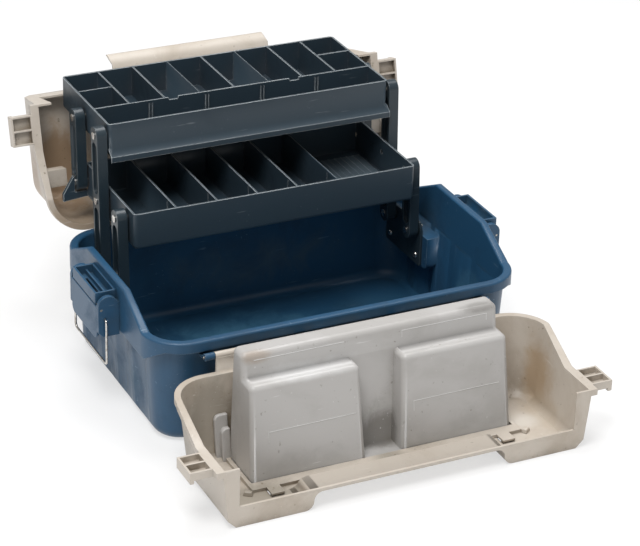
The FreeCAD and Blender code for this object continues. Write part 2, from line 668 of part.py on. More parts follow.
def round_hole(sketch, height, radius):
    import Sketcher
    ring = sketch.addGeometry(Part.Circle(Vector(0, size(height), 0), Vector(0, 0, 1), size(radius)))
    if size(height):
        sketch.addConstraint(Sketcher.Constraint("PointOnObject", ring, 3, -2))
        place = sketch.addConstraint(
            Sketcher.Constraint("DistanceY", -1, 1, ring, 3, size(height)))
        bind(sketch, f"Constraints[{place}]", height)
    else:
        sketch.addConstraint(Sketcher.Constraint("Coincident", ring, 3, -1, 1))
    wide = sketch.addConstraint(Sketcher.Constraint("Radius", ring, size(radius)))
    bind(sketch, f"Constraints[{wide}]", radius)


def arm(label, side, pivots, y, z):
    """A moulded arm of I-section with round ends and a bore at each pivot."""
    body = new_body(label)
    span = f"arm_span * {pivots - 1}"
    outline = sketch_on(body, "YZ_Plane", label + "_outline")
    slot(outline, "0", span, "arm_wide / 2")
    pad = body.newObject("PartDesign::Pad", label + "_slab")
    pad.Profile = outline
    pad.SideType = "Symmetric"
    bind(pad, "Length", "arm_thick")
    doc.recompute()
    for turn, face in ((1, "outer"), (-1, "inner")):
        for bay in range(pivots - 1):
            hollow = sketch_on(body, "YZ_Plane", f"{label}_{face}_bay_{bay}")
            clear = "pin_head + 12"
            slot(hollow, f"arm_span * {bay} + {clear}", f"arm_span - 2 * ({clear})",
                 "arm_wide / 2 - arm_edge")
            bind(hollow, "AttachmentOffset.Base.z", f"{turn} * (arm_thick / 2 - arm_pocket)")
            pocket = body.newObject("PartDesign::Pocket", f"{label}_{face}_pocket_{bay}")
            pocket.Profile = hollow
            pocket.Reversed = turn > 0
            bind(pocket, "Length", "arm_pocket + 1")
    bores = sketch_on(body, "YZ_Plane", label + "_bores")
    for index in range(pivots):
        round_hole(bores, f"arm_span * {index}" if index else "0", "pin_round + pin_fit")
    through = body.newObject("PartDesign::Pocket", label + "_bore")
    through.Profile = bores
    through.SideType = "Symmetric"
    bind(through, "Length", "arm_thick + 2")
    body.Placement = Placement(Vector(), Rotation(Vector(-1, 0, 0), size("arm_lean")))
    bind(body, "Placement.Base.x", f"{side} * {ARM_X}")
    bind(body, "Placement.Base.y", y)
    bind(body, "Placement.Base.z", z)
    bind(body, "Placement.Rotation.Angle", "arm_lean")
    return body


STEP_Y = "arm_span * sin(arm_lean * 1deg)"
STEP_Z = "arm_span * cos(arm_lean * 1deg)"
LOW_PIVOT = (f"(long_y + {STEP_Y})", f"(long_z + {STEP_Z})")
HIGH_PIVOT = (f"(long_y + 2 * {STEP_Y})", f"(long_z + 2 * {STEP_Z})")
# the arms stand beside the trays, and the brackets and wings outside the arms
ARM_X = "(tray_half_x + arm_gap + arm_thick / 2)"
BRACKET_X = f"({ARM_X} + arm_thick / 2 + bracket_gap)"
WING_INNER = f"({ARM_X} + arm_thick / 2 + wing_gap)"


def arms():
    for name, side in (("left", -1), ("right", 1)):
        arm(f"{name}_long_arm", side, 3, "long_y", "long_z")
        arm(f"{name}_front_arm", side, 2, "short_y", "short_z")
        arm(f"{name}_rear_arm", side, 2, f"{LOW_PIVOT[0]} + back_dy", f"{LOW_PIVOT[1]} + back_dz")


def arm_pins():
    """Headed pivot pins: in the brackets, in the lower tray and in the upper tray."""
    inner, outer = f"({ARM_X} - arm_thick / 2)", f"({ARM_X} + arm_thick / 2)"
    rear = (f"{LOW_PIVOT[0]} + back_dy", f"{LOW_PIVOT[1]} + back_dz")
    front_top = (f"short_y + {STEP_Y}", f"short_z + {STEP_Z}")
    rear_top = (f"{HIGH_PIVOT[0]} + back_dy", f"{HIGH_PIVOT[1]} + back_dz")
    groups = {
        "bracket_pins": ([("long_y", "long_z"), ("short_y", "short_z")], False),
        "lower_tray_pins": ([LOW_PIVOT, front_top, rear], True),
        "upper_tray_pins": ([HIGH_PIVOT, rear_top], True),
    }
    for label, (places, in_tray) in groups.items():
        solids = []
        for index, (y, z) in enumerate(places):
            for side in (-1, 1):
                start, end = (("(tray_half_x - tray_wall)", f"({outer} + 0.2)") if in_tray else
                              (f"({inner} - 0.2)", f"({BRACKET_X} + bracket_wall + 6)"))
                head = (end, f"({end} + 1)") if in_tray else (f"({start} - 1.2)", start)
                spans = ((start, end, "pin_round"), head + ("pin_head",))
                parts = []
                for low, high, radius in spans:
                    first = low if side > 0 else f"-{high}"
                    parts.append(rod(f"{label}_{index}_{side + 1}_{len(parts)}", radius,
                                     f"{high} - {low}", first, y, z))
                solids.append(joined("Part::MultiFuse", f"{label}_{index}_{side + 1}", parts))
        node(joined("Part::Compound", label, solids), label)


def brackets():
    """Screwed plates inside the tub ends that carry the arm pivots."""
    x0, wall = size(BRACKET_X), size("bracket_wall")
    front, back, low = size("bracket_front"), size("bracket_back"), size("bracket_low")
    rise = size("arm_wide / 2")
    long_top, short_top = size("long_z") + rise, size("short_z") + rise
    outline = [(front, low), (back, low), (back, size("long_z")), (size("long_y") + 9, long_top),
               (size("long_y") - 9, long_top), (size("short_y") + 9, short_top),
               (size("short_y") - 9, short_top), (front, size("short_z"))]
    for name, side in (("left", -1), ("right", 1)):
        x = sorted((side * x0, side * (x0 + wall)))
        plate = prism(outline, "x", x[0], x[1])
        plate = round_edges(plate, 3, lambda b: b.XLength > 1 and b.ZMax < low + 0.1)
        for y, z in bracket_pivots():
            plate = plate.cut(bar(size("pin_round"), x, y, z))
        for y, z in screw_places():
            plate = plate.cut(bar(size("screw_round"), x, y, z))
        feature(f"{name}_arm_bracket", plate)
    screws = []
    for side in (-1, 1):
        for y, z in screw_places():
            tip, seat = side * (x0 + 16), side * (x0 - 0.2)
            stem = bar(size("screw_round") - 0.02, sorted((tip, seat)), y, z)
            head = Part.makeCone(size("screw_head"), size("screw_head") - 0.6, 1.6,
                                 Vector(seat, y, z), Vector(-side, 0, 0))
            slot_cut = block(sorted((seat - side * 0.9, seat - side * 3)), (y - 0.5, y + 0.5),
                             (z - 6, z + 6))
            screws.append(stem.fuse(head).cut(slot_cut))
    feature("bracket_screws", Part.makeCompound(screws))


def pivot_placement(target, pivot):
    for axis, text in zip("yz", pivot):
        bind(target, f"Placement.Base.{axis}", text)


def tray_shell(name, front, back, top, deep, cells):
    """A moulded tray: a block with rounded edges, hollowed by its compartments."""
    half = "tray_half_x"
    blank = box(name + "_blank", (f"-{half}", half), (f"-{front}", back), (f"{top} - {deep}", top))
    doc.recompute()
    rounded = doc.addObject("Part::Fillet", name + "_rounded")
    rounded.Base = blank
    low = size(f"{top} - {deep}")
    picked = [index for index, edge in enumerate(blank.Shape.Edges, start=1)
              if edge.BoundBox.ZLength > 1 or edge.BoundBox.ZMax < low + 0.01]
    radius = size("tray_round")
    rounded.Edges = [(index, radius, radius) for index in picked]
    return cut(name + "_hollow", rounded, joined("Part::MultiFuse", name + "_cells", cells))


def upper_tray():
    wall, half = "tray_wall", "(tray_half_x - tray_wall / 2)"
    pitch = f"(2 * {half} / high_columns)"
    low, top = "high_top - high_deep + tray_floor", "high_top + 1"
    cells = []
    columns = int(size("high_columns"))
    for column in range(columns):
        x = (f"-{half} + {pitch} * {column} + {wall} / 2",
             f"-{half} + {pitch} * {column + 1} - {wall} / 2")
        rows = [("high_mid + tray_wall", "high_back - tray_wall")]
        if column in (0, columns - 1):
            rows = [("high_mid + tray_wall", "high_split"),
                    ("high_split + tray_wall", "high_back - tray_wall")]
        for y in rows:
            cells.append(box(f"high_cell_{len(cells)}", x, y, (low, top)))
    cells.append(box("high_front_bay", ("-tray_half_x + tray_wall", "tray_half_x - tray_wall"),
                     ("-high_front + tray_wall", "high_mid"), (low, top)))
    hollow = tray_shell("upper_tray", "high_front", "high_back", "high_top", "high_deep", cells)
    # two finger notches in the middle wall
    notches = []
    mid, top_z = size("high_mid"), size("high_top")
    for side in (-1, 1):
        x, wide, deep = side * size("notch_x"), size("notch_wide") / 2, size("notch_deep")
        points = [(x - wide, top_z + 1), (x - wide + 2, top_z - deep), (x + wide - 2, top_z - deep),
                  (x + wide, top_z + 1)]
        notch = doc.addObject("Part::Feature", f"upper_tray_notch_{side + 1}")
        notch.Shape = prism(points, "y", mid - 1, mid + size("tray_wall") + 1)
        notches.append(notch)
    hollow = cut("upper_tray_notched", hollow, joined("Part::MultiFuse", "upper_notches", notches))
    # a drip lip along the front: slopes out, then turns down
    front, drop = size("-high_front"), size("high_top - lip_drop")
    out, slope, skirt = size("lip_out"), size("lip_slope"), size("lip_skirt")
    profile = [(front + 1, drop), (front - out, drop - slope), (front - out, drop - slope - skirt),
               (front - out + 2, drop - slope - skirt), (front - out + 2, drop - slope - 1.5),
               (front + 1, drop - 2.5)]
    half_x = size("tray_half_x")
    lip = doc.addObject("Part::Feature", "upper_tray_lip")
    lip.Shape = prism(profile, "x", -half_x, half_x)
    ribs = slot_ribs("high", (0.2, 0.4, 0.6, 0.8), ("-high_front", "high_mid"),
                     "high_top - high_deep + 1", "high_top - 3")
    tray = joined("Part::MultiFuse", "upper_tray_solid", [hollow, lip] + ribs)
    tray = with_bores("upper_tray", tray, [("0", "0"), ("back_dy", "back_dz")])
    pivot_placement(tray, HIGH_PIVOT)
    node(tray, "upper_tray")


def with_bores(name, tray, places):
    """Bore the tray's side walls for its pivot pins; places are measured from its own pivot."""
    rods = []
    for index, (y, z) in enumerate(places):
        for side, start in (("left", "-tray_half_x - 1"), ("right", "tray_half_x - tray_wall - 1")):
            rods.append(rod(f"{name}_bore_{index}_{side}", "pin_round", "tray_wall + 2", start, y, z))
    return cut(name, tray, joined("Part::MultiFuse", name + "_bores", rods))


def slot_ribs(name, shares, y, low, top):
    """Pairs of small upright ribs on both walls of a bay, which hold a loose divider."""
    ribs = []
    for index, share in enumerate(shares):
        for turn in (-1, 1):
            x = f"(-tray_half_x + 2 * tray_half_x * {share} + {turn} * 2)"
            for wall, (start, end) in enumerate(((f"{y[0]} + 1", f"{y[0]} + tray_wall + 2"),
                                                 (f"{y[1]} - 2", f"{y[1]} + 1"))):
                ribs.append(box(f"{name}_rib_{index}_{turn + 1}_{wall}", (f"{x} - 0.7", f"{x} + 0.7"),
                                (start, end), (low, top)))
    return ribs


def lower_tray():
    wall, half = "tray_wall", "(tray_half_x - tray_wall / 2)"
    pitch = f"(2 * {half} / low_columns)"
    low, top = "low_top - low_deep + tray_floor", "low_top + 1"
    columns = int(size("low_columns"))
    cells = []
    for column in range(columns - 1):
        last = column + (2 if column == columns - 2 else 1)
        x = (f"-{half} + {pitch} * {column} + {wall} / 2", f"-{half} + {pitch} * {last} - {wall} / 2")
        cells.append(box(f"low_cell_{column}", x, ("-low_front + tray_wall", "low_back - tray_wall"),
                         (low, top)))
    hollow = tray_shell("lower_tray", "low_front", "low_back", "low_top", "low_deep", cells)
    # wings at the back that stand outside the rear arms
    inner, out = size(WING_INNER), size(f"{WING_INNER} + wing_long")
    base, back = size("low_top - low_deep") + 3, size("low_back")
    side_x = size("tray_half_x") - 1
    crest = size("back_dz + 8")
    wings = []
    for side in (-1, 1):
        points = [(side * side_x, base), (side * out, base - 3), (side * out, base + 7),
                  (side * (inner + 2), crest), (side * inner, crest),
                  (side * inner, base + 8), (side * side_x, base + 8)]
        wing = doc.addObject("Part::Feature", f"lower_tray_wing_{side + 1}")
        wing.Shape = prism(points, "y", back - size("wing_wall"), back)
        wings.append(wing)
    # an upright rib on each divider near the front
    ribs = []
    for column in range(1, columns - 1):
        x = f"({pitch} * {column} - {half})"
        spread = "(tray_wall / 2 + 0.7)"
        ribs.append(box(f"low_divider_rib_{column}", (f"{x} - {spread}", f"{x} + {spread}"),
                        ("-low_front + 26", "-low_front + 28"),
                        ("low_top - low_deep + 1", "low_top - 1.5")))
    # fine cross ribs on the floor of the wide compartment
    start = f"({pitch} * 5 - {half} + 6)"
    for index in range(12):
        x = f"{start} + {index} * ({pitch} * 2 - 12) / 11"
        ribs.append(box(f"low_floor_rib_{index}", (f"{x} - 0.6", f"{x} + 0.6"),
                        ("-low_front + 20", "low_back - 20"),
                        ("low_top - low_deep + 1", "low_top - low_deep + tray_floor + 1")))
    tray = joined("Part::MultiFuse", "lower_tray_solid", [hollow] + wings + ribs)
    tray = with_bores("lower_tray", tray, [("0", "0"), ("short_y - long_y", "short_z - long_z"),
                                           ("back_dy", "back_dz")])
    pivot_placement(tray, LOW_PIVOT)
    node(tray, "lower_tray")


def latches():
    for name, side in (("left", -1), ("right", 1)):
        turn = Placement(Vector(), side_rotation(side))
        feature(f"{name}_latch_housing", latch_housing(), turn)
        feature(f"{name}_latch_lever", latch_lever(), turn)
        feature(f"{name}_latch_bail", latch_bail(), turn)
        pin = Part.makeCylinder(size("lever_pin"), size("2 * latch_half - 1"),
                                Vector(size("lever_x"), -size("latch_half - 0.5"), size("lever_z")),
                                Vector(0, 1, 0))
        feature(f"{name}_latch_pin", pin, turn)


def cross_hole(radius, x, z):
    reach = size("latch_half") + 10
    return Part.makeCylinder(radius, 2 * reach, Vector(x, -reach, z), Vector(0, 1, 0))


def latch_housing():
    """An open pocket over two arch-topped ears, seated on the tub's end band."""
    face = size("rim_half_x") + 0.1
    out, half, ear = size("latch_out"), size("latch_half"), size("ear_wall")
    low, wall = size("ear_low"), size("latch_wall")
    top, under = size("pocket_high"), size("pocket_low")
    axis_x, axis_z, rad = size("ear_axis_x"), size("ear_axis_z"), size("ear_round")
    body = block((face, face + wall), (-half, half), (size("band_low"), axis_z))
    for side in (-1, 1):
        y = sorted((side * (half - ear), side * half))
        plate = prism([(face, low), (out - 6, low), (out, low + 6), (out, axis_z), (face, axis_z)],
                      "y", y[0], y[1])
        arch = Part.makeCylinder(out - axis_x, ear, Vector(axis_x, y[0], axis_z), Vector(0, 1, 0))
        plate = plate.fuse(arch.common(block((face, out), y, (axis_z, top))))
        body = body.fuse(plate)
    reach = size("pocket_half")
    pocket = block((face, out), (-reach, reach), (under, top))
    hollow = block((face + wall, out - wall), (-reach + wall, reach - wall), (under + wall, top + 1))
    partition = block((face + 9, face + 11), (-reach, reach), (under, top - 6))
    slot_hole = block((face + 13, face + 18), (-24, 24), (under - 1, top))
    pocket = pocket.cut(hollow).fuse(partition).cut(slot_hole)
    link = block((face, axis_x - 2), (-half, half), (under, under + wall))
    body = body.fuse(pocket).fuse(link)
    body = body.cut(cross_hole(size("lever_pin + pin_fit"), size("lever_x"), size("lever_z")))
    return body.cut(cross_hole(size("bail_wire + pin_fit"), size("bail_x"), size("bail_z")))


def latch_lever():
    """A thumb lever between the ears: a flat face with two side ribs on the pin."""
    out, gap, wall = size("latch_out"), size("lever_gap"), size("lever_wall")
    half = size("latch_half - ear_wall") - gap
    top, low = size("lever_top"), size("lever_low")
    face = block((out - wall, out), (-half, half), (low, top))
    face = round_edges(face, 9, lambda b: b.XLength > 1 and b.ZMax < low + 0.1)
    face = round_edges(face, 1.8, lambda b: b.XMin > out - 0.01 and b.ZMin > top - 0.1)
    x, z, rib = size("lever_x"), size("lever_z"), size("lever_rib")
    rise = top - z
    for side in (-1, 1):
        y = sorted((side * (half - rib), side * half))
        web = block((x - 12, out - 1), y, (low + 18, z))
        web = round_edges(web, 8, lambda b: b.YLength > 1 and b.XMax < x - 11 and b.ZMax < z)
        boss = Part.makeCylinder(rise, rib, Vector(x, y[0], z), Vector(0, 1, 0))
        face = face.fuse(web).fuse(boss)
    finger = block((out - wall - 3, out), (-half + 14, half - 14), (low, low + 2.5))
    face = face.fuse(finger)
    return face.cut(cross_hole(size("lever_pin + pin_fit"), x, z)).removeSplitter()


def latch_bail():
    """A bent steel wire: a bar, two legs, and ends turned in to the ears."""
    x, z, half, long = size("bail_x"), size("bail_z"), size("bail_half"), size("bail_long")
    wire, bend = size("bail_wire"), size("bail_bend")
    inner = size("latch_half - ear_wall") + 0.5
    small = 3
    route = [Vector(x, -inner, z), Vector(x, -half, z), Vector(x, -half, z - long),
             Vector(x, half, z - long), Vector(x, half, z), Vector(x, inner, z)]
    edges, last = [], route[0]
    for before, corner, after, rad in zip(route, route[1:], route[2:], (small, bend, bend, small)):
        way_in = (corner - before).normalize()
        way_out = (after - corner).normalize()
        start, end = corner - way_in * rad, corner + way_out * rad
        centre = start + way_out * rad
        middle = centre + (corner - centre).normalize() * rad
        edges += [Part.makeLine(last, start), Part.Arc(start, middle, end).toShape()]
        last = end
    edges.append(Part.makeLine(last, route[-1]))
    path = Part.Wire(edges)
    profile = Part.Wire(Part.makeCircle(wire, route[0], Vector(0, 1, 0)))
    return path.makePipeShell([profile], True, False)


def check_and_write():
    doc.recompute()
    for item in doc.Objects:
        if "Invalid" in item.State or "Error" in item.State:
            raise RuntimeError(f"{item.Label} did not build: {item.State}")
    os.makedirs("parts", exist_ok=True)
    for item in NODES:
        if item.Shape.isNull() or not item.Shape.isValid():
            raise RuntimeError(f"{item.Label} has no valid shape")
        item.Shape.exportStep(f"parts/{item.Label}.step")


base_tub()
brackets()
hinge_pins()
front_lid()
lid_bins()
bin_door()
rear_lid()
carry_handle()
arms()
arm_pins()
upper_tray()
lower_tray()
latches()
check_and_write()
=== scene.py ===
import json
import math

import bmesh
import bpy
from mathutils import Matrix, Vector
from mathutils.bvhtree import BVHTree

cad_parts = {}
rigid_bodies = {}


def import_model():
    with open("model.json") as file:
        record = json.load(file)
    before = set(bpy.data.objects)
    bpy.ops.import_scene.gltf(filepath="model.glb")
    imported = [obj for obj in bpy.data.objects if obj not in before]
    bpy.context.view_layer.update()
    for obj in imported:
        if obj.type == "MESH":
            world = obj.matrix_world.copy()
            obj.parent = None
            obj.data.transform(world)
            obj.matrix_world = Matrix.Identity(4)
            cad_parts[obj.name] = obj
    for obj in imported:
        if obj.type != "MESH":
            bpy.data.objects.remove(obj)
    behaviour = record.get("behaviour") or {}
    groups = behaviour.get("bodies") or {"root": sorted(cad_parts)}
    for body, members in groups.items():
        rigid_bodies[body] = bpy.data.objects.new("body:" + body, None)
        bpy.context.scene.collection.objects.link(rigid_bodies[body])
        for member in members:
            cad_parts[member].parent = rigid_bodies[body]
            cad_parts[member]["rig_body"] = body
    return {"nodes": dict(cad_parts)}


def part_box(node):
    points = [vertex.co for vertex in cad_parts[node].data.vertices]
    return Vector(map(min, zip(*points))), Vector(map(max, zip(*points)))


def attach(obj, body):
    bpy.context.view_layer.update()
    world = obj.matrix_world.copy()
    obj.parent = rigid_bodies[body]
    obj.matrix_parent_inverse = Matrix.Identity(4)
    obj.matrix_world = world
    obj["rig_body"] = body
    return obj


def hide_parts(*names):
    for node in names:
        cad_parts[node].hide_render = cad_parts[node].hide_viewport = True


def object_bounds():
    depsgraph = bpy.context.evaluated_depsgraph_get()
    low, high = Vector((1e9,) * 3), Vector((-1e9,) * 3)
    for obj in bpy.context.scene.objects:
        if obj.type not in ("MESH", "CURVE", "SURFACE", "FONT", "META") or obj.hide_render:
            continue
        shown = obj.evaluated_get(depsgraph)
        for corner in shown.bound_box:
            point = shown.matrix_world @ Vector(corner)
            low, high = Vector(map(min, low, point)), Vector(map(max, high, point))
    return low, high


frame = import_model()
cad_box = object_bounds()

MM = 0.001
RAY_SAMPLES = 6
GRAIN_DEPTH = 0.0008
STREAK_DEPTH = 0.0004


# ---------------------------------------------------------------- shader groups

def new_group(name, inputs, outputs):
    """A shader node group with named sockets."""
    group = bpy.data.node_groups.new(name, "ShaderNodeTree")
    for label, kind, value in inputs:
        socket = group.interface.new_socket(label, in_out="INPUT", socket_type=kind)
        socket.default_value = value
    for label, kind in outputs:
        group.interface.new_socket(label, in_out="OUTPUT", socket_type=kind)
    return group, group.nodes.new("NodeGroupInput"), group.nodes.new("NodeGroupOutput")


def feed(tree, socket, value):
    """Set a socket to a plain value, or link it to another socket."""
    if isinstance(value, bpy.types.NodeSocket):
        tree.links.new(value, socket)
    elif isinstance(value, tuple) and len(value) == 3 and len(socket.default_value) == 4:
        socket.default_value = value + (1.0,)
    else:
        socket.default_value = value


def noise(tree, coords, scale, detail=4.0, roughness=0.55, distortion=0.0):
    node = tree.nodes.new("ShaderNodeTexNoise")
    feed(tree, node.inputs["Vector"], coords)
    feed(tree, node.inputs["Scale"], scale)
    node.inputs["Detail"].default_value = detail
    node.inputs["Roughness"].default_value = roughness
    node.inputs["Distortion"].default_value = distortion
    return node.outputs["Fac"]


def stretched(tree, coords, scale, turn=(0.0, 0.0, 0.0)):
    node = tree.nodes.new("ShaderNodeMapping")
    feed(tree, node.inputs["Vector"], coords)
    node.inputs["Rotation"].default_value = turn
    node.inputs["Scale"].default_value = scale
    return node.outputs["Vector"]


def span(tree, value, low, high, out_low=0.0, out_high=1.0):
    """Map value from low..high to out_low..out_high, clamped and eased at both ends."""
    node = tree.nodes.new("ShaderNodeMapRange")
    node.interpolation_type = "SMOOTHSTEP"
    feed(tree, node.inputs["Value"], value)
    for label, amount in (("From Min", low), ("From Max", high),
                          ("To Min", out_low), ("To Max", out_high)):
        feed(tree, node.inputs[label], amount)
    return node.outputs["Result"]


def reckon(tree, operation, first, second):
    node = tree.nodes.new("ShaderNodeMath")
    node.operation = operation
    node.use_clamp = operation in ("ADD", "SUBTRACT", "MULTIPLY")
    feed(tree, node.inputs[0], first)
    feed(tree, node.inputs[1], second)
    return node.outputs[0]


def blend_colours(tree, factor, first, second):
    node = tree.nodes.new("ShaderNodeMix")
    node.data_type = "RGBA"
    feed(tree, node.inputs[0], factor)
    feed(tree, node.inputs[6], first)
    feed(tree, node.inputs[7], second)
    return node.outputs[2]


def make_edge_group():
    """Exposed edges made pale, as rubbed wear and painted edge highlights, inside corners left alone,
    and a moulded edge's rounded normal.
    """
    group, given, out = new_group(
        "moulded_edge",
        [("Vector", "NodeSocketVector", (0, 0, 0)), ("Radius", "NodeSocketFloat", 0.0011),
         ("Breakup", "NodeSocketFloat", 70.0), ("Evenness", "NodeSocketFloat", 0.0)],
        [("Mask", "NodeSocketFloat"), ("Normal", "NodeSocketVector")])
    bevel = group.nodes.new("ShaderNodeBevel")
    bevel.samples = RAY_SAMPLES
    group.links.new(given.outputs["Radius"], bevel.inputs["Radius"])
    geometry = group.nodes.new("ShaderNodeNewGeometry")
    dot = group.nodes.new("ShaderNodeVectorMath")
    dot.operation = "DOT_PRODUCT"
    group.links.new(bevel.outputs["Normal"], dot.inputs[0])
    group.links.new(geometry.outputs["Normal"], dot.inputs[1])
    level, turned_off = 0.99, 0.84
    edge = span(group, dot.outputs["Value"], level, turned_off)
    patchy = noise(group, given.outputs["Vector"], given.outputs["Breakup"])
    broken = reckon(group, "MAXIMUM", span(group, patchy, 0.3, 0.62), given.outputs["Evenness"])
    open_air = group.nodes.new("ShaderNodeAmbientOcclusion")
    open_air.samples = RAY_SAMPLES
    open_air.inputs["Distance"].default_value = 6 * MM
    sheltered, fully_open = 0.66, 0.86
    exposed = span(group, open_air.outputs["AO"], sheltered, fully_open)
    group.links.new(reckon(group, "MULTIPLY", reckon(group, "MULTIPLY", edge, exposed), broken),
                    out.inputs["Mask"])
    group.links.new(bevel.outputs["Normal"], out.inputs["Normal"])
    return group


def make_grime_and_shade_group():
    """Use marks: wide stains, specks, fine scratches, and a corner mask from occlusion for dust and
    painted shade in corners and recesses.
    """
    group, given, out = new_group(
        "grime_and_shade",
        [("Vector", "NodeSocketVector", (0, 0, 0)), ("Stain Scale", "NodeSocketFloat", 9.0),
         ("Speck Scale", "NodeSocketFloat", 160.0), ("Corner Reach", "NodeSocketFloat", 0.02)],
        [("Stains", "NodeSocketFloat"), ("Specks", "NodeSocketFloat"),
         ("Scratches", "NodeSocketFloat"), ("Corners", "NodeSocketFloat")])
    vector = given.outputs["Vector"]
    wide = noise(group, vector, given.outputs["Stain Scale"], 7.0, 0.64, 0.6)
    stains = span(group, wide, 0.46, 0.7)
    specks = span(group, noise(group, vector, given.outputs["Speck Scale"], 3.0), 0.67, 0.75)
    patches = span(group, noise(group, vector, 17.0, 2.0), 0.42, 0.62)
    first = noise(group, stretched(group, vector, (14.0, 230.0, 150.0), (0.3, 0.5, 0.4)), 1.5, 2.0)
    second = noise(group, stretched(group, vector, (210.0, 16.0, 170.0), (0.5, 0.2, -0.6)), 1.5, 2.0)
    lines = reckon(group, "MAXIMUM", span(group, first, 0.69, 0.75), span(group, second, 0.7, 0.76))
    shade = group.nodes.new("ShaderNodeAmbientOcclusion")
    shade.samples = RAY_SAMPLES
    group.links.new(given.outputs["Corner Reach"], shade.inputs["Distance"])
    half_open, closed_in = 0.75, 0.25
    corner = span(group, shade.outputs["AO"], half_open, closed_in)
    corner_breakup = span(group, noise(group, vector, 34.0, 5.0), 0.3, 0.62)
    for label, value in (("Stains", stains), ("Specks", specks),
                         ("Scratches", reckon(group, "MULTIPLY", lines, patches)),
                         ("Corners", reckon(group, "MULTIPLY", corner, corner_breakup))):
        group.links.new(value, out.inputs[label])
    return group


def make_grain_group():
    """The pebbled surface of moulded plastic and its slow waviness, as a height."""
    group, given, out = new_group(
        "mould_grain",
        [("Vector", "NodeSocketVector", (0, 0, 0)), ("Scale", "NodeSocketFloat", 850.0)],
        [("Height", "NodeSocketFloat")])
    fine = noise(group, given.outputs["Vector"], given.outputs["Scale"], 2.0)
    wavy = noise(group, given.outputs["Vector"], 13.0, 1.0)
    fine_share, wavy_share = 0.2, 0.8
    height = reckon(group, "ADD", reckon(group, "MULTIPLY", fine, fine_share),
                    reckon(group, "MULTIPLY", wavy, wavy_share))
    group.links.new(height, out.inputs["Height"])
    return group


def make_blot_group():
    """A ragged soft blot around a centre, with its reach along each axis."""
    group, given, out = new_group(
        "blot",
        [("Vector", "NodeSocketVector", (0, 0, 0)), ("Centre", "NodeSocketVector", (0, 0, 0)),
         ("Reach", "NodeSocketVector", (0.05, 0.05, 0.05)), ("Ragged", "NodeSocketFloat", 1.3)],
        [("Mask", "NodeSocketFloat")])
    away = group.nodes.new("ShaderNodeVectorMath")
    away.operation = "SUBTRACT"
    group.links.new(given.outputs["Vector"], away.inputs[0])
    group.links.new(given.outputs["Centre"], away.inputs[1])
    scaled = group.nodes.new("ShaderNodeVectorMath")
    scaled.operation = "DIVIDE"
    group.links.new(away.outputs["Vector"], scaled.inputs[0])
    group.links.new(given.outputs["Reach"], scaled.inputs[1])
    length = group.nodes.new("ShaderNodeVectorMath")
    length.operation = "LENGTH"
    group.links.new(scaled.outputs["Vector"], length.inputs[0])
    rough = group.nodes.new("ShaderNodeMath")
    rough.operation = "MULTIPLY_ADD"
    group.links.new(noise(group, given.outputs["Vector"], 21.0, 9.0, 0.7, 0.5), rough.inputs[0])
    group.links.new(given.outputs["Ragged"], rough.inputs[1])
    group.links.new(length.outputs["Value"], rough.inputs[2])
    outside, full = 1.62, 1.0
    group.links.new(span(group, rough.outputs[0], outside, full), out.inputs["Mask"])
    return group


EDGE = make_edge_group()
BLOT = make_blot_group()
GRIME_AND_SHADE = make_grime_and_shade_group()
GRAIN = make_grain_group()


# ---------------------------------------------------------------- materials

def new_material(name):
    material = bpy.data.materials.new(name)
    material.use_nodes = True
    tree = material.node_tree
    shader = tree.nodes["Principled BSDF"]
    place = tree.nodes.new("ShaderNodeTexCoord").outputs["Object"]
    return material, tree, shader, place


def use_group(tree, group, place, **values):
    node = tree.nodes.new("ShaderNodeGroup")
    node.node_tree = group
    tree.links.new(place, node.inputs["Vector"])
    for label, value in values.items():
        node.inputs[label.replace("_", " ")].default_value = value
    return node


def add_bump(tree, shader, height, strength, distance, normal=None):
    bump = tree.nodes.new("ShaderNodeBump")
    bump.inputs["Strength"].default_value = strength
    bump.inputs["Distance"].default_value = distance
    tree.links.new(height, bump.inputs["Height"])
    if normal is not None:
        tree.links.new(normal, bump.inputs["Normal"])
    tree.links.new(bump.outputs["Normal"], shader.inputs["Normal"])


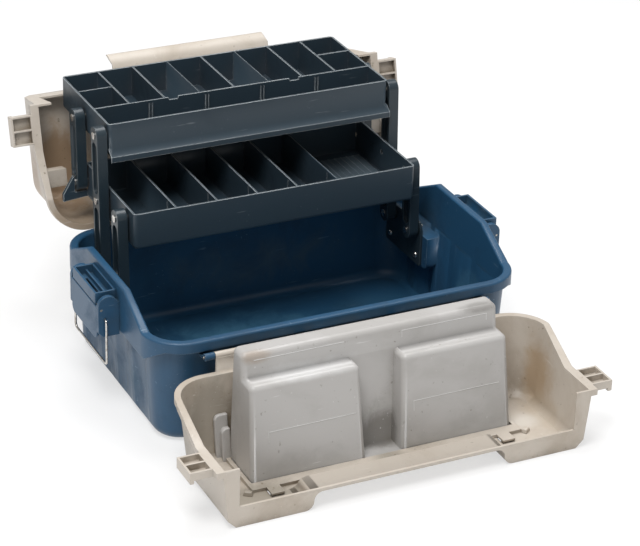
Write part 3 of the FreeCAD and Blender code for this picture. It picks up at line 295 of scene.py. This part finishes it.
def moulded_plastic(name, colour, dark, pale, rough=(0.38, 0.55), stain=0.5, speck=0.5,
                    scratch=0.4, wear_and_highlight=0.6, corner=0.5, stain_scale=9.0, reach=0.02,
                    grain=0.25, even=0.0, specular=0.5, soil_and_shade=None, blots=(), rounding=0.0011):
    """Moulded plastic: stains go toward dark; specks, and corner dust with painted shade, go toward
    the soil-and-shade tone, with painted fill light where that tone is lighter; scratches, rubbed
    edges and painted edge highlights go toward pale.

    Each blot is a centre and reach in millimetres, a colour and a strength.
    """
    material, tree, shader, place = new_material(name)
    grime_and_shade = use_group(tree, GRIME_AND_SHADE, place, Stain_Scale=stain_scale, Corner_Reach=reach)
    edge = use_group(tree, EDGE, place, Evenness=even, Radius=rounding)
    shader.inputs["Specular IOR Level"].default_value = specular
    soil_and_shade = soil_and_shade or dark
    tone = blend_colours(tree, reckon(tree, "MULTIPLY", grime_and_shade.outputs["Stains"], stain), colour, dark)
    for centre, spread, tint, strength in blots:
        blot = use_group(tree, BLOT, place, Centre=[value * MM for value in centre],
                         Reach=[value * MM for value in spread])
        tone = blend_colours(tree, reckon(tree, "MULTIPLY", blot.outputs["Mask"], strength),
                             tone, tint)
    # Occluded corners toward the soil-and-shade tone: dust plus painted shade, and painted fill light
    # where that tone is lighter than the colour.
    tone = blend_colours(tree, reckon(tree, "MULTIPLY", grime_and_shade.outputs["Corners"], corner), tone, soil_and_shade)
    tone = blend_colours(tree, reckon(tree, "MULTIPLY", grime_and_shade.outputs["Specks"], speck), tone, soil_and_shade)
    tone = blend_colours(tree, reckon(tree, "MULTIPLY", grime_and_shade.outputs["Scratches"], scratch),
                         tone, pale)
    # Exposed edges toward pale: rubbed wear plus painted highlights along rims and edges.
    tone = blend_colours(tree, reckon(tree, "MULTIPLY", edge.outputs["Mask"], wear_and_highlight), tone, pale)
    tree.links.new(tone, shader.inputs["Base Color"])
    tree.links.new(span(tree, grime_and_shade.outputs["Stains"], 0, 1, *rough), shader.inputs["Roughness"])
    height = use_group(tree, GRAIN, place).outputs["Height"]
    add_bump(tree, shader, height, grain, GRAIN_DEPTH, edge.outputs["Normal"])
    return material


def drawn_steel(name, bright, tarnished, tarnish=0.6):
    """Bright wire with faint tarnish and fine drawing streaks."""
    material, tree, shader, place = new_material(name)
    shade = span(tree, noise(tree, place, 120.0), 0.4, 0.75)
    tone = blend_colours(tree, reckon(tree, "MULTIPLY", shade, tarnish), bright, tarnished)
    tree.links.new(tone, shader.inputs["Base Color"])
    tree.links.new(span(tree, shade, 0, 1, 0.22, 0.48), shader.inputs["Roughness"])
    shader.inputs["Metallic"].default_value = 1.0
    streaks = noise(tree, stretched(tree, place, (900.0, 60.0, 900.0)), 1.0, 2.0)
    add_bump(tree, shader, streaks, 0.12, STREAK_DEPTH)
    return material


# Tub: the wide edge rounding with pale edges gives the rim bead a painted highlight, and the greyer
# corner tone with a long reach is dust plus painted fill light inside the tub.
TUB_BLUE = moulded_plastic("tub_blue", (0.018, 0.074, 0.148), (0.012, 0.043, 0.086),
                           (0.19, 0.29, 0.38), rough=(0.36, 0.54), stain=0.5, speck=0.35,
                           scratch=0.5, wear_and_highlight=0.6, corner=0.6, even=0.45, specular=0.42,
                           reach=0.05, soil_and_shade=(0.040, 0.068, 0.092), rounding=0.0016,
                           blots=[((150, 60, 8), (110, 60, 20), (0.026, 0.085, 0.145), 0.5),
                                  ((-60, -10, 4), (200, 150, 22), (0.062, 0.175, 0.270), 0.85),
                                  ((218, -60, 60), (30, 55, 50), (0.062, 0.160, 0.235), 0.6),
                                  ((40, 138, 66), (230, 16, 62), (0.058, 0.098, 0.132), 0.8),
                                  ((-236, -60, 40), (14, 80, 40), (0.030, 0.086, 0.140), 0.6)])
# Trays: full-strength pale on every exposed edge is a painted highlight along the rims and divider
# tops, and the lighter corner tone is dust plus painted fill light in the shaded compartments.
TRAY_SLATE = moulded_plastic("tray_slate", (0.028, 0.046, 0.062), (0.018, 0.031, 0.043),
                             (0.70, 0.75, 0.77), rough=(0.34, 0.5), stain=0.45, speck=0.15,
                             scratch=0.10, wear_and_highlight=1.0, corner=0.55, even=1.0, reach=0.03,
                             soil_and_shade=(0.068, 0.074, 0.082))
ARM_SLATE = moulded_plastic("arm_slate", (0.018, 0.031, 0.041), (0.012, 0.021, 0.028),
                            (0.20, 0.25, 0.28), rough=(0.32, 0.48), stain=0.4, speck=0.3,
                            scratch=0.2, wear_and_highlight=0.4, corner=0.2, soil_and_shade=(0.07, 0.068, 0.062))
BROWN = (0.33, 0.235, 0.155)
MURKY = (0.27, 0.24, 0.195)
GREY_DIRT = (0.13, 0.122, 0.11)
LID_BONE = moulded_plastic("lid_bone", (0.53, 0.475, 0.41), (0.37, 0.305, 0.235),
                           (0.72, 0.685, 0.63), rough=(0.38, 0.58), stain=0.6, speck=0.7,
                           scratch=0.45, wear_and_highlight=0.5, corner=0.9, stain_scale=7.0, reach=0.03,
                           soil_and_shade=(0.16, 0.122, 0.08),
                           blots=[((228, -226, 36), (16, 42, 84), (0.40, 0.285, 0.175), 0.8),
                                  ((222, -255, 6), (30, 60, 24), (0.45, 0.37, 0.28), 0.6),
                                  ((190, -264, 5), (36, 24, 12), (0.62, 0.59, 0.54), 0.55),
                                  ((-224, -225, 50), (18, 66, 62), MURKY, 0.75),
                                  ((-190, -193, 52), (58, 30, 74), MURKY, 0.7),
                                  ((-178, -296, 4), (84, 40, 20), MURKY, 0.85),
                                  ((-70, -318, 10), (90, 16, 14), (0.40, 0.33, 0.26), 0.6),
                                  ((0, -285, 4), (34, 30, 12), MURKY, 0.7),
                                  ((-195, 285, 155), (64, 72, 105), (0.33, 0.205, 0.105), 0.8),
                                  ((-208, 200, 130), (60, 60, 70), (0.33, 0.235, 0.15), 0.7),
                                  ((205, 285, 215), (70, 90, 120), (0.38, 0.29, 0.20), 0.45),
                                  ((0, 295, 110), (230, 52, 44), (0.36, 0.27, 0.18), 0.6)])
BIN_GREY = moulded_plastic("bin_grey", (0.455, 0.442, 0.428), (0.345, 0.33, 0.31),
                           (0.74, 0.74, 0.735), rough=(0.32, 0.48), stain=0.5, speck=0.55,
                           scratch=0.55, wear_and_highlight=0.65, corner=0.7, even=0.35,
                           soil_and_shade=(0.17, 0.15, 0.12),
                           # The first three blots are painted shade: the dark floor of the gap
                           # between the wells and the darker lower fronts of both wells.
                           blots=[((12, -240, 12), (70, 22, 52), (0.175, 0.163, 0.147), 0.85),
                                  ((-100, -272, -4), (120, 26, 50), (0.30, 0.29, 0.275), 0.55),
                                  ((100, -272, -4), (120, 26, 50), (0.30, 0.29, 0.275), 0.55),
                                  ((-90, -240, 122), (80, 24, 12), (0.60, 0.60, 0.595), 0.6),
                                  ((-150, -232, 146), (30, 14, 12), BROWN, 0.45),
                                  ((140, -226, 150), (36, 14, 9), GREY_DIRT, 0.5)])
WITNESS_GREY = moulded_plastic("witness_grey", (0.66, 0.655, 0.645), (0.52, 0.51, 0.49),
                               (0.8, 0.8, 0.79), speck=0.2, corner=0.0)
KNURL_SLATE = moulded_plastic("knurl_slate", (0.075, 0.105, 0.128), (0.045, 0.066, 0.084),
                              (0.50, 0.57, 0.61), rough=(0.28, 0.4), stain=0.6, corner=0.2,
                              wear_and_highlight=0.6, even=0.5)
STEEL = drawn_steel("bright_wire", (0.66, 0.64, 0.61), (0.27, 0.22, 0.17))


FINISH = {
    "base_tub": TUB_BLUE, "left_latch_housing": TUB_BLUE, "right_latch_housing": TUB_BLUE,
    "left_latch_lever": TUB_BLUE, "right_latch_lever": TUB_BLUE, "carry_handle": TUB_BLUE,
    "front_lid": LID_BONE, "rear_lid": LID_BONE, "bin_door": LID_BONE, "lid_bins": BIN_GREY,
    "upper_tray": TRAY_SLATE, "lower_tray": TRAY_SLATE,
    "left_arm_bracket": ARM_SLATE, "right_arm_bracket": ARM_SLATE,
}


def finish_for(node):
    if node in FINISH:
        return FINISH[node]
    return ARM_SLATE if node.endswith("_arm") else STEEL


# ---------------------------------------------------------------- pieces from the solids

def add_piece(name, bm, body, material, smooth_angle=32):
    """Turn a bmesh into an object that rides on a body, sharp past an angle in degrees."""
    mesh = bpy.data.meshes.new(name)
    bm.to_mesh(mesh)
    bm.free()
    mesh.shade_smooth()
    mesh.set_sharp_from_angle(angle=math.radians(smooth_angle))
    mesh.materials.append(material)
    piece = bpy.data.objects.new(name, mesh)
    bpy.context.scene.collection.objects.link(piece)
    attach(piece, body)
    return piece


# Each rim: how far the piece turns to shut, its hinge (y, z), which way the rim faces when
# shut, and how much its edges are rounded, in degrees and millimetres. A face belongs to a rim
# if it then lies between RIM_HEIGHTS, with at least LEAST_LEVEL of its normal along Z. A wall
# beside it has less than MOST_LEAN of its normal along Z.
RIMS = {"base_tub": (0, (0, 0), 1, 2.6), "front_lid": (180, (-170, 122), -1, 0.9),
        "rear_lid": (104, (170, 122), -1, 0.9)}
RIM_HEIGHTS = (138.5, 168.5)
LEAST_LEVEL, MOST_LEAN = 0.5, 0.4

# Points nearer than this (metres) are one, and faces within this angle (degrees) are one flat.
WELD_DISTANCE, FLAT_ANGLE = 2e-6, 0.5


def round_rim(bm, turn_by, hinge, facing, width):
    """Round the long edges of a rim, found by how it lies when the cabinet is shut."""
    pivot = Vector((0, *hinge)) * MM
    turn = Matrix.Rotation(math.radians(turn_by), 3, "X")
    bm.normal_update()
    tops = set()
    for face in bm.faces:
        heights = [(turn @ (vert.co - pivot) + pivot).z / MM for vert in face.verts]
        level = (turn @ face.normal).z * facing
        if level > LEAST_LEVEL and min(heights) > RIM_HEIGHTS[0] and max(heights) < RIM_HEIGHTS[1]:
            tops.add(face)
    edges = []
    for edge in bm.edges:
        sides = [face for face in edge.link_faces if face not in tops]
        if len(edge.link_faces) == 2 and len(sides) == 1 and edge.is_convex:
            if abs((turn @ sides[0].normal).z) < MOST_LEAN:
                edges.append(edge)
    bmesh.ops.bevel(bm, geom=edges, offset=width * MM, offset_type="OFFSET", segments=3,
                    profile=0.5, affect="EDGES", material=-1, clamp_overlap=True)


def dressed(node):
    """A merged copy of a solid, shaded smooth across its curves, in place of the solid."""
    source = frame["nodes"][node]
    bm = bmesh.new()
    bm.from_mesh(source.data)
    bmesh.ops.remove_doubles(bm, verts=bm.verts, dist=WELD_DISTANCE)
    bmesh.ops.dissolve_limit(bm, angle_limit=math.radians(FLAT_ANGLE), verts=bm.verts,
                             edges=bm.edges)
    if node in RIMS:
        round_rim(bm, *RIMS[node])
    piece = add_piece(f"{node}_dressed", bm, source["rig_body"], finish_for(node))
    weighted = piece.modifiers.new("even_shading", "WEIGHTED_NORMAL")
    weighted.keep_sharp = True
    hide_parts(node)
    return piece


for node in frame["nodes"]:
    dressed(node)


# ---------------------------------------------------------------- small moulded details
# Their sizes and places are in millimetres, with the cabinet open.

BACKWARD, DOWNWARD = (0, 1, 0), (0, 0, -1)


def surface_of(node):
    mesh = frame["nodes"][node].data
    return BVHTree.FromPolygons([vertex.co for vertex in mesh.vertices],
                                [face.vertices for face in mesh.polygons])


def seat(surface, start, aim):
    """Where a ray in millimetres first meets a surface, in metres, and the normal there."""
    place, normal, _, _ = surface.ray_cast(Vector(start) * MM, Vector(aim))
    return place, normal


def raised_line(bm, start, end, normal, wide=0.9, high=0.35):
    """A low rounded line of material between two points of a surface."""
    along = end - start
    across = along.cross(normal).normalized()
    turn = Matrix((across, normal, along.normalized())).transposed().to_4x4()
    made = bmesh.ops.create_cone(bm, cap_ends=True, cap_tris=False, segments=12,
                                 radius1=0.5, radius2=0.5, depth=1.0)
    shape = Matrix.Diagonal((wide * MM, high * 2 * MM, along.length + wide * MM, 1))
    bmesh.ops.transform(bm, verts=made["verts"],
                        matrix=Matrix.Translation((start + end) / 2) @ turn @ shape)


def witness_marks():
    """The thin frame lines that the mould leaves on the front of the wells and the ridge.

    Each line has its left and right end (x, z), and how far it turns down at each.
    """
    surface = surface_of("lid_bins")
    bm = bmesh.new()
    before_bins, long_drop, short_drop, drop_wide, drop_high = -420, 12, 8, 0.7, 0.25
    lines = [((-146, 64), (-36, 64.6), long_drop, 0), ((40, 64), (153, 64.4), long_drop, 0),
             ((-150, 141.2), (-37, 141.4), 0, 0), ((38, 141), (150, 140.8), short_drop, short_drop)]
    for (left_x, left_z), (right_x, right_z), left_drop, right_drop in lines:
        left, normal = seat(surface, (left_x, before_bins, left_z), BACKWARD)
        right, _ = seat(surface, (right_x, before_bins, right_z), BACKWARD)
        raised_line(bm, left, right, normal)
        for x, z, drop in ((left_x, left_z, left_drop), (right_x, right_z, right_drop)):
            if drop:
                top, _ = seat(surface, (x, before_bins, z), BACKWARD)
                low, _ = seat(surface, (x, before_bins, z - drop), BACKWARD)
                raised_line(bm, top, low, normal, drop_wide, drop_high)
    add_piece("bin_witness_lines", bm, frame["nodes"]["lid_bins"]["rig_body"], WITNESS_GREY)


def soften(piece, width):
    """Rounded edges on a small moulded piece."""
    bevel = piece.modifiers.new("rounded_edges", "BEVEL")
    bevel.width = width * MM
    bevel.segments = 3
    bevel.limit_method = "ANGLE"
    bevel.angle_limit = math.radians(30)
    bevel.harden_normals = True


def upright_profile(inner, outer, low, high, rounding):
    """A plate seen from the front, from a wall outward, with one rounded top corner."""
    steps = 6
    corners = [(inner, low), (outer, low)]
    for step in range(steps + 1):
        turn = math.pi / 2 * step / steps
        corners.append((outer - rounding + rounding * math.cos(turn),
                        high - rounding + rounding * math.sin(turn)))
    return corners + [(inner, high)]


def stepped_uprights():
    """The two-step upright rib that leans on the lid's wall beside each end of the bins.

    Each step has its outer side, its top and how far it stands off the wall.
    """
    surface = surface_of("front_lid")
    body = frame["nodes"]["front_lid"]["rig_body"]
    probe_x, probe_y, probe_low, probe_high = 180, -225, 20, 50
    inner, floor_front, floor_back, rounding, sunk, softness = 168, 2.6, 8, 7, 0.4, 1.4
    steps = ((185, 58, 5), (179, 43, 10.5))
    for side, hand in ((-1, "left"), (1, "right")):
        low, high = (seat(surface, (side * probe_x, probe_y, z), BACKWARD)[0].y / MM
                     for z in (probe_low, probe_high))
        bm = bmesh.new()
        for outer, top, deep in steps:
            rings = []
            for floor, offset in ((floor_front, -deep), (floor_back, sunk)):
                ring = []
                for x, z in upright_profile(inner, outer, floor, top, rounding):
                    wall = low + (high - low) * (z - probe_low) / (probe_high - probe_low)
                    ring.append(bm.verts.new((side * x * MM, (wall + offset) * MM, z * MM)))
                rings.append(ring)
            front, back = rings
            bm.faces.new(front)
            bm.faces.new(back[::-1])
            for step in range(len(front)):
                following = (step + 1) % len(front)
                bm.faces.new((front[step], back[step], back[following], front[following]))
        bmesh.ops.recalc_face_normals(bm, faces=bm.faces)
        soften(add_piece(f"{hand}_stepped_upright", bm, body, BIN_GREY), softness)


def corner_lugs():
    """A rounded lug on the lid floor at each front corner of the bins."""
    surface = surface_of("front_lid")
    body = frame["nodes"]["front_lid"]["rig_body"]
    lug_x, lug_y, above_floor, lift = 181, -287, 60, 2.2
    wide, deep, tall, top_share, askew, softness = 12, 8, 5.4, 0.7, 35, 1.2
    for side, hand in ((-1, "left"), (1, "right")):
        floor, _ = seat(surface, (side * lug_x, lug_y, above_floor), DOWNWARD)
        bm = bmesh.new()
        made = bmesh.ops.create_cube(bm, size=1.0)
        bmesh.ops.scale(bm, verts=made["verts"], vec=(wide * MM, deep * MM, tall * MM))
        raised = [vert for vert in made["verts"] if vert.co.z > 0]
        bmesh.ops.scale(bm, verts=raised, vec=(top_share, top_share, 1))
        turn = Matrix.Rotation(math.radians(side * askew), 4, "Z")
        place = Matrix.Translation((side * lug_x * MM, lug_y * MM, floor.z + lift * MM))
        bmesh.ops.transform(bm, verts=made["verts"], matrix=place @ turn)
        soften(add_piece(f"{hand}_corner_lug", bm, body, LID_BONE), softness)


def knurled_floor():
    """The fine non-slip grid on the floor of the lower tray's wide compartment."""
    surface = surface_of("lower_tray")
    low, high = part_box("lower_tray")
    pitch, knob_high, sunk, skirt, sharp_past = 1.2 * MM, 0.45 * MM, 0.1 * MM, 1.4 * MM, 20
    left, right, from_wall, above_tray = 88 * MM, 184 * MM, 22 * MM, 210
    front, back = low[1] + from_wall, high[1] - from_wall
    width, depth = right - left, back - front
    middle = ((left + right) / 2, (front + back) / 2)
    probes = range(90, 182, 2)
    top = max(seat(surface, (x, middle[1] / MM, above_tray), DOWNWARD)[0].z for x in probes)
    columns, rows = int(width / pitch), int(depth / pitch)
    bm = bmesh.new()
    bmesh.ops.create_grid(bm, x_segments=columns, y_segments=rows, size=0.5)
    bmesh.ops.scale(bm, verts=bm.verts, vec=(width, depth, 1))
    for vert in bm.verts:
        column = round((vert.co.x - left + middle[0]) / width * columns)
        row = round((vert.co.y - front + middle[1]) / depth * rows)
        vert.co.z = knob_high if column % 2 and row % 2 else 0.0
    bmesh.ops.translate(bm, verts=bm.verts, vec=(middle[0], middle[1], top - sunk))
    rim = bmesh.ops.extrude_edge_only(bm, edges=[edge for edge in bm.edges if edge.is_boundary])
    lowered = [item for item in rim["geom"] if isinstance(item, bmesh.types.BMVert)]
    bmesh.ops.translate(bm, verts=lowered, vec=(0, 0, -skirt))
    body = frame["nodes"]["lower_tray"]["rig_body"]
    add_piece("lower_tray_knurled_floor", bm, body, KNURL_SLATE, sharp_past)


witness_marks()
stepped_uprights()
corner_lugs()
knurled_floor()


# ---------------------------------------------------------------- floor, light, camera

def studio_floor():
    """A pale floor just under the cabinet, which glows a little where the camera sees it."""
    reach, below, glow_share = 6.0, 0.0005, 0.62
    bm = bmesh.new()
    bmesh.ops.create_grid(bm, x_segments=1, y_segments=1, size=reach)
    bmesh.ops.translate(bm, verts=bm.verts, vec=(0, 0, cad_box[0][2] - below))
    mesh = bpy.data.meshes.new("studio_floor")
    bm.to_mesh(mesh)
    bm.free()
    floor = bpy.data.objects.new("studio_floor", mesh)
    bpy.context.scene.collection.objects.link(floor)
    material = bpy.data.materials.new("studio_floor")
    material.use_nodes = True
    tree = material.node_tree
    shader = tree.nodes["Principled BSDF"]
    shader.inputs["Base Color"].default_value = (0.94, 0.94, 0.94, 1)
    shader.inputs["Roughness"].default_value = 0.6
    glow = tree.nodes.new("ShaderNodeEmission")
    glow.inputs["Color"].default_value = (1, 1, 1, 1)
    path = tree.nodes.new("ShaderNodeLightPath")
    seen = reckon(tree, "MAXIMUM", path.outputs["Is Camera Ray"], path.outputs["Is Glossy Ray"])
    mix = tree.nodes.new("ShaderNodeMixShader")
    tree.links.new(reckon(tree, "MULTIPLY", seen, glow_share), mix.inputs[0])
    tree.links.new(shader.outputs[0], mix.inputs[1])
    tree.links.new(glow.outputs[0], mix.inputs[2])
    tree.links.new(mix.outputs[0], tree.nodes["Material Output"].inputs["Surface"])
    mesh.materials.append(material)


def studio_world():
    """White surroundings, dimmer as a light than they look to the camera."""
    light_strength, seen_strength = 0.42, 1.0
    world = bpy.data.worlds.new("studio")
    world.use_nodes = True
    bpy.context.scene.world = world
    tree = world.node_tree
    sky = tree.nodes["Background"]
    sky.inputs["Color"].default_value = (1, 1, 1, 1)
    path = tree.nodes.new("ShaderNodeLightPath")
    seen = reckon(tree, "MAXIMUM", path.outputs["Is Camera Ray"], path.outputs["Is Transmission Ray"])
    strength = span(tree, seen, 0, 1, light_strength, seen_strength)
    tree.links.new(strength, sky.inputs["Strength"])


def soft_lamp(name, place, size, power):
    """A round lamp aimed at the middle of the tub."""
    lamp = bpy.data.lights.new(name, "AREA")
    lamp.shape = "DISK"
    lamp.size = size
    lamp.energy = power
    item = bpy.data.objects.new(name, lamp)
    bpy.context.scene.collection.objects.link(item)
    item.location = place
    aim = Vector((0, 0, 0.1)) - Vector(place)
    item.rotation_euler = aim.to_track_quat("-Z", "Y").to_euler()


def camera():
    """The viewing angle: from the front left, looking down 27 degrees."""
    right = Vector((0.903046, -0.428663, 0.027492))
    down = Vector((-0.173562, -0.422685, -0.889497))
    ahead = Vector((0.392915, 0.798484, -0.456103))
    place, sensor, lens = (-1.1501, -2.4234, 1.4904), 36.0, 137.02
    data = bpy.data.cameras.new("camera")
    data.sensor_fit = "HORIZONTAL"
    data.sensor_width = sensor
    data.lens = lens
    item = bpy.data.objects.new("camera", data)
    bpy.context.scene.collection.objects.link(item)
    turn = Matrix((right, -down, -ahead)).transposed()
    item.matrix_world = Matrix.Translation(place) @ turn.to_4x4()
    bpy.context.scene.camera = item


studio_floor()
studio_world()
soft_lamp("key_light", (-0.9, -0.9, 2.6), size=1.3, power=50)
soft_lamp("top_light", (0.5, 0.6, 2.8), size=1.8, power=46)
camera()
bpy.context.scene.view_settings.view_transform = "Standard"
